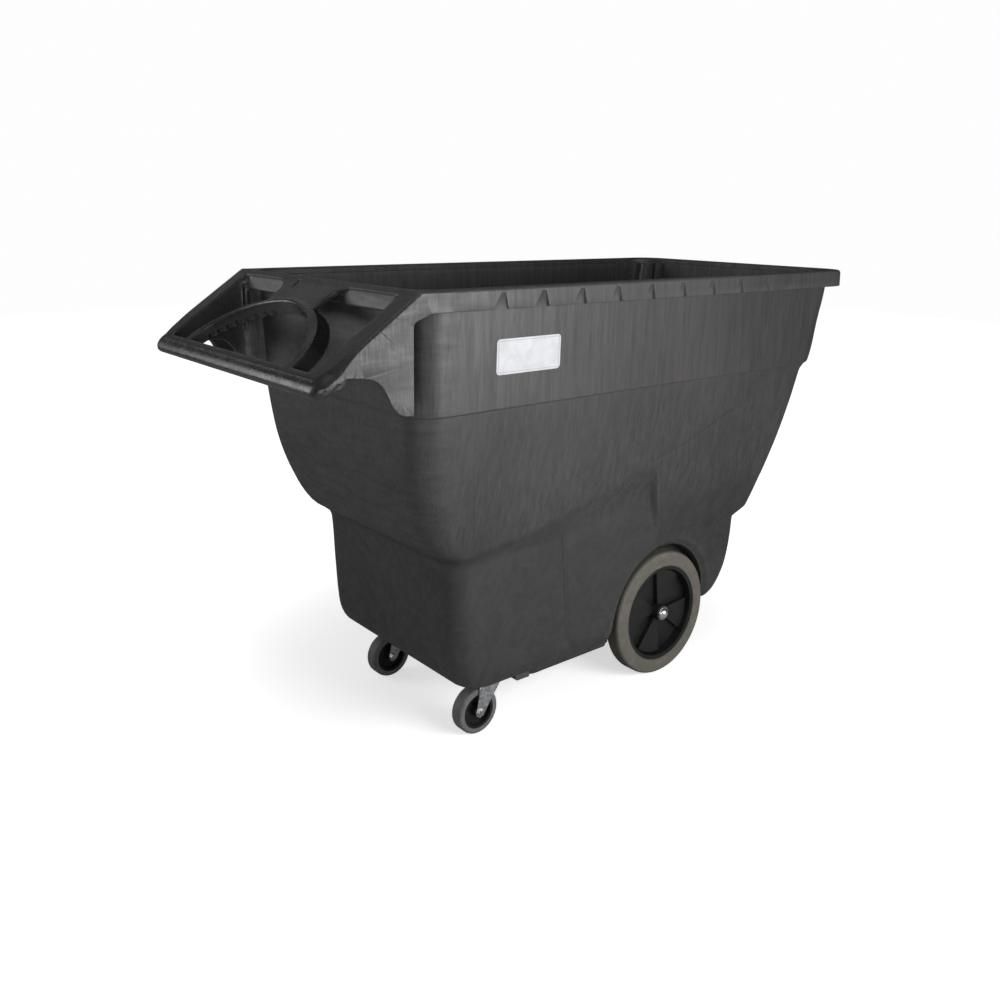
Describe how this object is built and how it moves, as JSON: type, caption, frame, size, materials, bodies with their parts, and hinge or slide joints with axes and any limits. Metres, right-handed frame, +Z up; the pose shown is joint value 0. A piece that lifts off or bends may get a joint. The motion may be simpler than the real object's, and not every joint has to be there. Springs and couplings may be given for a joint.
{
  "type": "tilt truck",
  "caption": "Moulded plastic tilt truck for waste: deep tapered tub with a sloped end handle, large side wheels on a cross axle and small swivel casters at the handle end.",
  "frame": {"origin": "centre of the overall length and width, at floor level under the wheels", "axes": "+X along the truck towards the dump nose (handle at -X), +Y across the truck to the left of a person pushing it, +Z up"},
  "size_m": [1.537, 0.711, 0.9775],
  "materials": {
    "tub_plastic": "black structural foam plastic, satin with flow marks",
    "label_film": "satin white film",
    "tyre_rubber": "warm grey non-marking rubber, matte",
    "hub_plastic": "black moulded plastic, satin",
    "bush_nylon": "natural nylon",
    "caster_core_plastic": "black moulded plastic",
    "caster_tread_rubber": "mid grey rubber, matte",
    "ball_steel": "polished steel",
    "cap_chrome": "bright plated",
    "zinc_sheet": "bright zinc plated pressed steel",
    "axle_steel": "cold drawn steel",
    "zinc_hardware": "bright zinc plated"
  },
  "bodies": {
    "tub": {"tub": "tub_plastic", "label_right": "label_film", "axle": "axle_steel", "axle_brackets": "zinc_sheet", "axle_bracket_bolts": "zinc_hardware", "axle_bracket_nuts": "zinc_hardware", "axle_spacers": "axle_steel", "axle_washers_inner": "zinc_hardware", "axle_washers_outer": "zinc_hardware", "axle_caps": "cap_chrome", "caster_plate_left": "zinc_sheet", "caster_kingpin_left": "zinc_sheet", "caster_plate_right": "zinc_sheet", "caster_kingpin_right": "zinc_sheet", "caster_mount_bolts": "zinc_hardware", "caster_mount_washers": "zinc_hardware", "caster_mount_nuts": "zinc_hardware"},
    "wheel_left": {"tyre_left": "tyre_rubber", "wheel_hub_left": "hub_plastic", "hub_bush_left": "bush_nylon"},
    "caster_swivel_left": {"caster_fork_left": "zinc_sheet", "caster_balls_left": "ball_steel", "caster_axle_bolt_left": "zinc_hardware", "caster_axle_nut_left": "zinc_hardware", "caster_sleeve_left": "zinc_hardware"},
    "caster_wheel_left": {"caster_core_left": "caster_core_plastic", "caster_tread_left": "caster_tread_rubber"},
    "wheel_right": {"tyre_right": "tyre_rubber", "wheel_hub_right": "hub_plastic", "hub_bush_right": "bush_nylon"},
    "caster_swivel_right": {"caster_fork_right": "zinc_sheet", "caster_balls_right": "ball_steel", "caster_axle_bolt_right": "zinc_hardware", "caster_axle_nut_right": "zinc_hardware", "caster_sleeve_right": "zinc_hardware"},
    "caster_wheel_right": {"caster_core_right": "caster_core_plastic", "caster_tread_right": "caster_tread_rubber"}
  },
  "joints": [
    {"name": "wheel_left_spin", "type": "hinge", "parent": "tub", "child": "wheel_left", "pos_m": [0.2187, 0.21625, 0.1524], "axis": [0, 1, 0], "continuous": true},
    {"name": "caster_left_swivel", "type": "hinge", "parent": "tub", "child": "caster_swivel_left", "pos_m": [-0.268, 0.171, 0.12], "axis": [0, 0, 1], "continuous": true},
    {"name": "caster_left_roll", "type": "hinge", "parent": "caster_swivel_left", "child": "caster_wheel_left", "pos_m": [-0.304, 0.171, 0.0508], "axis": [0, 1, 0], "continuous": true},
    {"name": "wheel_right_spin", "type": "hinge", "parent": "tub", "child": "wheel_right", "pos_m": [0.2187, -0.21625, 0.1524], "axis": [0, 1, 0], "continuous": true},
    {"name": "caster_right_swivel", "type": "hinge", "parent": "tub", "child": "caster_swivel_right", "pos_m": [-0.268, -0.171, 0.12], "axis": [0, 0, 1], "continuous": true},
    {"name": "caster_right_roll", "type": "hinge", "parent": "caster_swivel_right", "child": "caster_wheel_right", "pos_m": [-0.304, -0.171, 0.0508], "axis": [0, 1, 0], "continuous": true}
  ]
}
